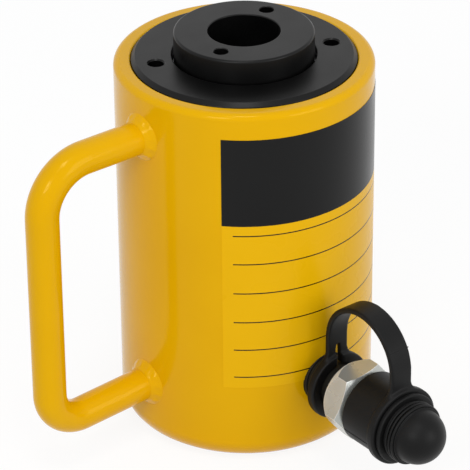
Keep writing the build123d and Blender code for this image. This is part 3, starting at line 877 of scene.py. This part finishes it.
seam_drop = bar_drop * bar_radius / (handle_reach - bar_end)
seam_turns = [2 * pi * step / SEAM_STEPS for step in range(SEAM_STEPS + 1)]
for number, height in enumerate((bar_high_end, bar_low_end - seam_drop)):
    work = bmesh.new()
    loops = [
        [work.verts.new(seam_point(angle, bar_radius + a, o, height)) for a, o in fillet_section]
        for angle in seam_turns[:-1]
    ]
    join_rings(work, loops)
    bead = from_bmesh(f"weld_{number}", work)
    seam = [seam_point(angle, bar_radius + 0.9, 0.5, height) for angle in seam_turns]
    seam_mesh = bpy.data.meshes.new("seam")
    seam_mesh.from_pydata(seam, [(k, k + 1) for k in range(SEAM_STEPS)], [])
    drops = new_piece("drops", seam_mesh)
    run_tree(drops, bead_tree, Finish=FINISHES["yellow_paint"], Seed=4 + number)
    join_piece(bead, drops)
    melt(bead, 0.0003, 48)
    bead.data.materials.clear()
    nodes = [] if number else ["handle_welds"]
    hand_over(bead, "yellow_paint", "cylinder", *nodes, smooth=0)

# %% [markdown]
# The coupler is a hexagon with a screwed nose. A nut's corners are chamfered by turning, so
# a hexagonal prism is intersected with a turned solid, which leaves a nut's curved arrises.

# %% Hexagon
hex_start, hex_end, nose_end = 63.0, 73.5, 92.0
hex_flat, hex_turn, hex_back, hex_face_in = 13.5, 7.0, 4.2, 0.6
hex_corner = hex_flat / cos(radians(30))


def slab(name, outline, low, high):
    """A closed plate: an outline of (x, height over the port) in mm, between two reaches."""
    work = bmesh.new()
    ends = [
        [work.verts.new((x * mm, y * mm, reach * mm)) for x, y in outline] for reach in (low, high)
    ]
    count = len(outline)
    for k in range(count):
        work.faces.new((ends[0][k], ends[0][(k + 1) % count], ends[1][(k + 1) % count], ends[1][k]))
    work.faces.new(ends[0])
    work.faces.new(ends[1])
    work.transform(PORT)
    return from_bmesh(name, work)


hex_turns = [radians(hex_turn + 60 * k) for k in range(6)]
hex_outline = [(hex_corner * cos(a), hex_corner * sin(a)) for a in hex_turns]
coupler = slab("coupler", hex_outline, hex_start, hex_end)
hex_slope = (hex_corner - hex_flat + hex_face_in) * tan(radians(30))
hex_round = turned(
    "cutter",
    [
        (0, hex_start), (hex_flat - hex_face_in, hex_start, 0.2),
        (hex_corner, hex_start + hex_back), (hex_corner + 0.2, hex_start + hex_back + 0.3),
        (hex_corner + 0.2, hex_end - hex_slope), (hex_flat - hex_face_in, hex_end, 0.2),
        (0, hex_end),
    ],
    port=True,
)
combine(coupler, [hex_round], "INTERSECT")
print("hexagon across corners:", round(2 * hex_corner, 2), "mm")

# %% [markdown]
# The thread on the nose follows a rule, so Geometry Nodes moves each point of a plain turned
# tube towards the axis by an amount that depends on its height and its turn. The teeth stay
# between First and Last, and only the outer wall moves.

# %% Thread rule
thread_tree, thread_in = new_tree(
    "screw_thread", Pitch=0.0018, Depth=0.00085, First=0.0755, Last=0.0905
)
thread = maths_in(thread_tree)
here = add(thread_tree, "GeometryNodeInputPosition")
xyz = add(thread_tree, "ShaderNodeSeparateXYZ", in_vector=here).outputs
tx, ty, tz = (xyz[axis] for axis in "XYZ")
turn_share = thread("DIVIDE", thread("ARCTAN2", ty, tx), 2 * pi)
phase = thread("FRACT", thread("SUBTRACT", thread("DIVIDE", tz, thread_in["Pitch"]), turn_share))
tooth = thread("ABSOLUTE", thread("MULTIPLY_ADD", phase, 2.0, -1.0))
after_first = thread("GREATER_THAN", tz, thread_in["First"])
threaded = thread("MULTIPLY", after_first, thread("LESS_THAN", tz, thread_in["Last"]))
squares = thread("ADD", thread("MULTIPLY", tx, tx), thread("MULTIPLY", ty, ty))
from_axis = thread("SQRT", squares)
outer_wall = thread("MULTIPLY", threaded, thread("GREATER_THAN", from_axis, 0.011))
depth = thread("MULTIPLY", thread("MULTIPLY", tooth, thread_in["Depth"]), outer_wall)
share = thread("SUBTRACT", 1.0, thread("DIVIDE", depth, from_axis))
moved = add(
    thread_tree, "ShaderNodeCombineXYZ", in_x=thread("MULTIPLY", tx, share),
    in_y=thread("MULTIPLY", ty, share), in_z=tz,
)
thread_made = add(
    thread_tree, "GeometryNodeSetPosition", in_geometry=thread_in["Geometry"],
    in_position=moved,
)
end_tree(thread_tree, thread_in, thread_made)

# %% [markdown]
# The nose is turned with many close rows of points, so that the thread has something to
# move. The hexagon gets a core that reaches into the nose, and a chamber for the valve. A
# fine bevel softens its arrises, and its back cone takes a paler, matt copy of the zinc that
# paints a bright highlight on it.

# %% Coupler
nose_radius, chamber_radius, core_end = 11.7, 6.6, 75.6
core_radius = nose_radius - 0.6
thread_rows = [(nose_radius, 75.2 + 0.18 * k) for k in range(87)]
nose_shape = [(8.0, 74.0), (core_radius, 74.0), (core_radius, 75.0)] + thread_rows
nose_shape += [(nose_radius, nose_end, 1.0), (8.0, nose_end, 0.5)]
nose = turned("thread_nose", nose_shape, segments=120)
run_tree(nose, thread_tree, Finish=FINISHES["zinc_plate"])
nose.data.transform(PORT)
hand_over(nose, "zinc_plate", "cylinder", smooth=40)

core_shape = [(0, 73.0), (core_radius, 73.0), (core_radius, core_end), (0, core_end)]
combine(coupler, [turned("cutter", core_shape, port=True)], "UNION")
chamber = turned(
    "cutter",
    [
        (0, 60), (port_thread, 60), (port_thread, 70.1), (chamber_radius, 70.1),
        (chamber_radius, 80.0), (0, 80.0),
    ],
    port=True,
)
combine(coupler, [chamber])
# Faces that look back towards the barrel take the paler copy: a painted highlight on the back cone.
for finish in ("zinc_plate", "matt_zinc"):
    coupler.data.materials.append(FINISHES[finish])
for face in coupler.data.polygons:
    if face.normal.y > 0.25 and -67.6 * mm < face.center.y:
        face.material_index = 1
softened = coupler.modifiers.new("arris", "BEVEL")
softened.width = 0.00022
softened.segments = 2
softened.limit_method = "ANGLE"
softened.angle_limit = radians(28)
hand_over(coupler, "zinc_plate", "cylinder")

throat_radius, seat_radius, seat_low, seat_high = 8.0, 4.1, 86.5, 88.5
throat = turned(
    "valve_seat",
    [
        (chamber_radius, core_end), (throat_radius, core_end), (throat_radius, seat_high),
        (seat_radius, seat_high, 0.3), (seat_radius, seat_low), (chamber_radius, 84.0),
    ],
    port=True, segments=96,
)
hand_over(throat, "zinc_plate", "cylinder", "coupler_body")

# %% [markdown]
# A nipple carries the coupler, with a washer under its collar. They stand in the rubber ring's
# shade, which is painted into them as a near-black copy of the zinc. The valve inside the nose
# is bright turned steel, with a rubber ring in the mouth.

# %% Nipple, washer and valve
nipple_bore, nipple_thread, collar_radius, collar_low = 3.4, 8.6, 9.6, 49.4
nipple = turned(
    "nipple",
    [
        (nipple_bore, 40.5), (nipple_thread, 40.5, 0.5), (nipple_thread, collar_low),
        (collar_radius, collar_low, 0.2), (collar_radius, 51.4, 0.25), (9.0, 51.4, 0.15),
        (9.0, hex_start), (nipple_thread, hex_start), (nipple_thread, 70.0, 0.5),
        (nipple_bore, 70.0, 0.3),
    ],
    port=True,
)
washer = turned(
    "sealing_washer",
    [(8.8, 47.4, 0.1), (10.2, 47.4, 0.2), (10.2, collar_low, 0.3), (8.8, collar_low, 0.1)],
    port=True,
)
for piece, node in ((nipple, "port_nipple"), (washer, "port_washer")):
    # The near-black copy of the zinc paints the rubber ring's shade onto these two.
    piece.data.materials.append(FINISHES["dull_zinc"])
    hand_over(piece, "zinc_plate", "cylinder", node)

stem_radius, valve_radius, tip_radius, tip_end = 2.2, 6.0, 3.8, 90.5
valve = turned(
    "valve_poppet",
    [
        (0, 69.0), (stem_radius, 69.0, 0.4), (stem_radius, 81.2, 0.2), (valve_radius, 81.2, 0.3),
        (valve_radius, 83.7), (tip_radius, 85.9), (tip_radius, tip_end, 0.6), (0, tip_end),
    ],
    port=True, segments=72,
)
hand_over(valve, "machined_steel", "valve", "coupler_poppet")
seal_turns = [2 * pi * k / 20 for k in range(20)]
seal_ring = [(7.1 + 0.8 * cos(a), 89.3 + 0.8 * sin(a)) for a in seal_turns]
mouth_ring = turned("mouth_ring", seal_ring, port=True, segments=96)
hand_over(mouth_ring, "black_rubber", "cylinder", "mouth_seal", smooth=60)

# %% [markdown]
# A spring shortens as its joint moves: one end stays and the other follows the joint. Each coil
# from the CAD is copied and merged into a piece of its own, with the spring's finish, that stays
# with the cylinder.

# %% Spring coils
for node_name, joint, axis, stroke in (
    ("return_spring", "plunger_slide", (0, 0, 1), 50 * mm),
    ("poppet_spring", "poppet_press", (0, 1, 0), 3 * mm),
):
    node_object = frame["nodes"][node_name]
    wire = bmesh.new()
    wire.from_mesh(node_object.data)
    wire.transform(node_object.matrix_world)
    coil = from_bmesh(node_name + "_coil", wire)
    coil.data.materials.append(FINISHES["spring_steel"])
    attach(coil, "cylinder")
    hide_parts(node_name)
    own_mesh(coil)

# %% [markdown]
# The dust cap is moulded rubber: a skirt over the nose, a groove that the strap grips and a
# domed end. It is turned like the metal pieces, with an arc of points for the dome.

# %% Dust cap
cap_start, groove_start, groove_end = 75.0, 90.4, 94.2
skirt_bore, skirt_radius, groove_radius, flange_out = 12.0, 14.2, 12.2, 14.0
flange_end, rib_floor, dome_base, dome_radius = 96.1, 11.3, 101.8, 10.7
dome_turns = [radians(6 * k) for k in range(1, 15)]
dome = [(dome_radius * cos(a), dome_base + dome_radius * sin(a)) for a in dome_turns]
cap = turned(
    "rubber_cap",
    [
        (0, 92.1), (skirt_bore, 92.1, 0.6), (skirt_bore, cap_start, 0.5),
        (skirt_radius, cap_start, 0.7), (skirt_radius, groove_start, 0.35),
        (groove_radius, groove_start, 0.3), (groove_radius, groove_end, 0.3),
        (flange_out, groove_end, 0.45), (flange_out, flange_end, 0.6), (rib_floor, flange_end, 0.4),
        (rib_floor, dome_base, 0.3), (dome_radius, dome_base, 0.2), *dome,
        (0, dome_base + dome_radius),
    ],
    port=True,
)
hand_over(cap, "black_rubber", "cap", "dust_cap")

# %% [markdown]
# Thin ribs for the fingers run round the cap below its dome. They repeat, so Geometry Nodes
# lays copies of one ring along a line. Two low ridges mark where the halves of the mould met.

# %% Cap ribs and parting ridges
rib_first = 97.5
rib_tree, rib_in = new_tree("cap_ribs", Ribs=3, Pitch=0.0016, RibRadius=0.01155, Thick=0.00062)
rib_path, rib_section = (
    add(rib_tree, "GeometryNodeCurvePrimitiveCircle", in_resolution=count, in_radius=rib_in[label])
    for count, label in ((128, "RibRadius"), (14, "Thick"))
)
rib_ring = add(
    rib_tree, "GeometryNodeCurveToMesh", in_curve=rib_path,
    in_profile_curve=rib_section,
)
rib_step = add(rib_tree, "ShaderNodeCombineXYZ", in_z=rib_in["Pitch"])
rib_line = add(rib_tree, "GeometryNodeMeshLine", in_count=rib_in["Ribs"], in_offset=rib_step)
rib_lay = add(
    rib_tree, "GeometryNodeInstanceOnPoints", in_points=rib_line,
    in_instance=rib_ring,
)
end_tree(rib_tree, rib_in, rib_lay)
ribs = new_piece("cap_ribs", bpy.data.meshes.new("cap_ribs"))
run_tree(ribs, rib_tree, Finish=FINISHES["black_rubber"])
ribs.data.transform(PORT @ Matrix.Translation((0, 0, rib_first * mm)))
smooth_faces(ribs.data)
hand_over(ribs, "black_rubber", "cap", smooth=60)

ridge_size = Matrix.Diagonal((1.1 * mm, 0.36 * mm, 14.2 * mm, 1))
ridge_place = Matrix.Translation((13.8 * mm, 0, 83.0 * mm))
ridge = new_piece("cap_parting", bpy.data.meshes.new("cap_parting"))
ridge_work = bmesh.new()
for turn in (20, 200):
    side = Matrix.Rotation(radians(turn), 4, "Z") @ ridge_place
    bmesh.ops.create_cube(ridge_work, size=1.0, matrix=side @ ridge_size)
ridge_work.transform(PORT)
ridge_work.to_mesh(ridge.data)
ridge_work.free()
hand_over(ridge, "black_rubber", "cap")

# %% [markdown]
# The strap is one rubber moulding: a ring on the neck, a ring in the cap's groove and a band
# arched between them. Its parts are closed shapes laid over each other, to be fused later.
# First come the two rings, each with the plate that widens from the band into it.

# %% Rings of the strap
neck_ring_radius, grip_ring_radius = 13.6, 15.5
neck_start, grip_start = 53.8, 90.5
ring_thickness, band, band_width = 3.6, 2.2, 9.4
half_band = band_width / 2
arch_radius = (grip_start + band - neck_start) / 2
arch_middle = neck_start + arch_radius
arch_rise, flare, FLARE_STEPS = 21.9, 5.0, 8
strap_work = bmesh.new()


def add_shape(work, piece):
    """Add a piece's mesh to a bmesh and drop the piece."""
    work.from_mesh(piece.data)
    bpy.data.objects.remove(piece)


def limb(ring_radius):
    """The outline of the band where it widens into its ring."""
    reach = sqrt((ring_radius + flare) ** 2 - (half_band + flare) ** 2)
    turn = atan2(reach, half_band + flare)
    side = []
    for step in range(FLARE_STEPS + 1):
        angle = pi + turn - turn * step / FLARE_STEPS
        side.append((half_band + flare + flare * cos(angle), reach + flare * sin(angle)))
    other_side = [(-x, y) for x, y in side]
    return [(half_band, arch_rise)] + side[::-1] + other_side + [(-half_band, arch_rise)]


for start, ring_radius in ((neck_start, neck_ring_radius), (grip_start, grip_ring_radius)):
    end = start + ring_thickness
    ring_shape = [(0, start), (ring_radius, start, 0.5), (ring_radius, end, 0.5), (0, end)]
    add_shape(strap_work, turned("ring", ring_shape, port=True, segments=96))
    add_shape(strap_work, slab("slab", limb(ring_radius), start, start + band))
print("strap rings:", len(strap_work.verts), "points")

# %% [markdown]
# The band is a half circle of even thickness between the plates. A voxel remesh fuses the
# shapes, round cutters open the rings, and a wedge opens the slit that lets the neck ring
# spring over the nipple. A second, finer remesh rounds every edge as a mould does.

# %% Band and slit
ARCH_STEPS = 40
band_work = bmesh.new()
band_rows = []
for step in range(ARCH_STEPS + 1):
    angle = pi * step / ARCH_STEPS
    row = []
    for radius in (arch_radius - band, arch_radius):
        reach = arch_middle - radius * cos(angle)
        height = port_height + arch_rise + radius * sin(angle)
        row += [(-half_band, reach, height), (half_band, reach, height)]
    band_rows.append([band_work.verts.new((x * mm, -s * mm, z * mm)) for x, s, z in row])
for first, second in zip(band_rows, band_rows[1:]):
    for a, b in ((0, 1), (1, 3), (3, 2), (2, 0)):
        band_work.faces.new((first[a], first[b], second[b], second[a]))
for row in (band_rows[0], band_rows[-1]):
    band_work.faces.new((row[0], row[1], row[3], row[2]))
add_shape(strap_work, from_bmesh("band", band_work))
strap = from_bmesh("strap", strap_work)
melt(strap, 0.0004, 0)
openings = []
for radius, low, high in ((9.3, 50, 58), (12.5, 89, 96)):
    hole = [(0, low), (radius, low), (radius, high), (0, high)]
    openings.append(turned("cutter", hole, port=True, segments=96))
slit_shape = [(-2.2, 0), (2.2, 0), (0.9, 17.4), (0.5, 18.2), (-0.5, 18.2), (-0.9, 17.4)]
openings.append(slab("slab", slit_shape, 50, 58))
combine(strap, openings)
melt(strap, 0.00032, 5)
print("strap points:", len(strap.data.vertices))

# %% [markdown]
# Where the halves of the mould met, a hair of rubber crosses the band: a thin plate, turned
# to lie square on the arch. The strap bends between neck and cap when the cap is pulled off;
# here it keeps its moulded shape and takes its finish.

# %% Parting line and finish
parting_turn = 2.64
line_depth, line_rise, line_half = 0.5, 0.12, 0.18
line_shape = [(-half_band, -line_depth), (half_band, -line_depth)]
line_shape += [(half_band, line_rise), (-half_band, line_rise)]
parting = slab("slab", line_shape, -line_half, line_half)
parting.data.transform(PORT.inverted())
parting.data.transform(Matrix.Rotation(parting_turn - pi / 2, 4, "X"))
parting_place = (
    0,
    (arch_rise + arch_radius * sin(parting_turn)) * mm,
    (arch_middle - arch_radius * cos(parting_turn)) * mm,
)
parting.data.transform(PORT @ Matrix.Translation(parting_place))
join_piece(strap, parting)
strap.data.materials.append(FINISHES["black_rubber"])
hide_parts("cap_strap")
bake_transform(strap)
print(strap.name, "faces:", len(strap.data.polygons))


# %% [markdown]
# A printed foil wraps the barrel: a dark heading band and a yellow field with thin rules, all
# bare. Its edge catches light, so it is a real curved sheet and not only a painted area. Its
# inks are smoother than the enamel around it.

# %% Foil inks
def print_finish(name, dark, light, roughness, **more):
    """A smooth printed ink, with faint grain and few scratches."""
    return make_finish(
        name, dark, light, roughness, **more,
        grain_scale=900.0, grain_depth=0.00001, scratch_amount=0.2, tone_scale=14.0,
    )


field_print = print_finish(
    "yellow_foil", linear(235, 180, 4), linear(239, 185, 9), 0.28, specular=0.2,
    tint=(1, 0.9, 0.4, 1),
)
dark_print = print_finish("dark_print", grey(0.002), grey(0.004), 0.24, specular=0.2)
print("inks:", field_print.name, dark_print.name)

# %% [markdown]
# The sheet is a grid bent round the barrel. Its rows fall on the edges of the heading and of
# each rule, so that a whole row of faces can take the dark ink. Solidify gives it thickness.

# %% Foil
FOIL_STEP = 1.5
foil_first, rule_first, foil_last = 221.5, 226.3, 342.0
foil_low, heading_low, foil_high = 33.9, 103.65, 139.4
rule_heights = [99.6, 87.6, 75.1, 62.6, 50.55, 38.6]
rule_half = 0.24
foil_out = body_radius + 0.12
columns = [foil_first, rule_first]
while columns[-1] + FOIL_STEP < foil_last:
    columns.append(columns[-1] + FOIL_STEP)
columns.append(foil_last)
rule_edges = [h + side * rule_half for h in rule_heights for side in (-1, 1)]
levels = sorted([foil_low, heading_low, foil_high] + rule_edges)
work = bmesh.new()
grid = []
for angle in columns:
    x, y = foil_out * cos(radians(angle)) * mm, foil_out * sin(radians(angle)) * mm
    grid.append([work.verts.new((x, y, z * mm)) for z in levels])
for c in range(len(columns) - 1):
    for r in range(len(levels) - 1):
        face = work.faces.new((grid[c][r], grid[c + 1][r], grid[c + 1][r + 1], grid[c][r + 1]))
        middle = (levels[r] + levels[r + 1]) / 2
        ruled = c > 0 and any(abs(middle - h) < rule_half for h in rule_heights)
        face.material_index = 1 if middle > heading_low or ruled else 0
        face.smooth = True
foil_mesh = bpy.data.meshes.new("foil")
work.to_mesh(foil_mesh)
work.free()
foil = new_piece("foil", foil_mesh)
foil_mesh.materials.append(field_print)
foil_mesh.materials.append(dark_print)
thick = foil.modifiers.new("thick", "SOLIDIFY")
thick.thickness = 0.00010
thick.offset = -1.0
settle(foil)
hand_over(foil, "yellow_paint", "cylinder", smooth=50)
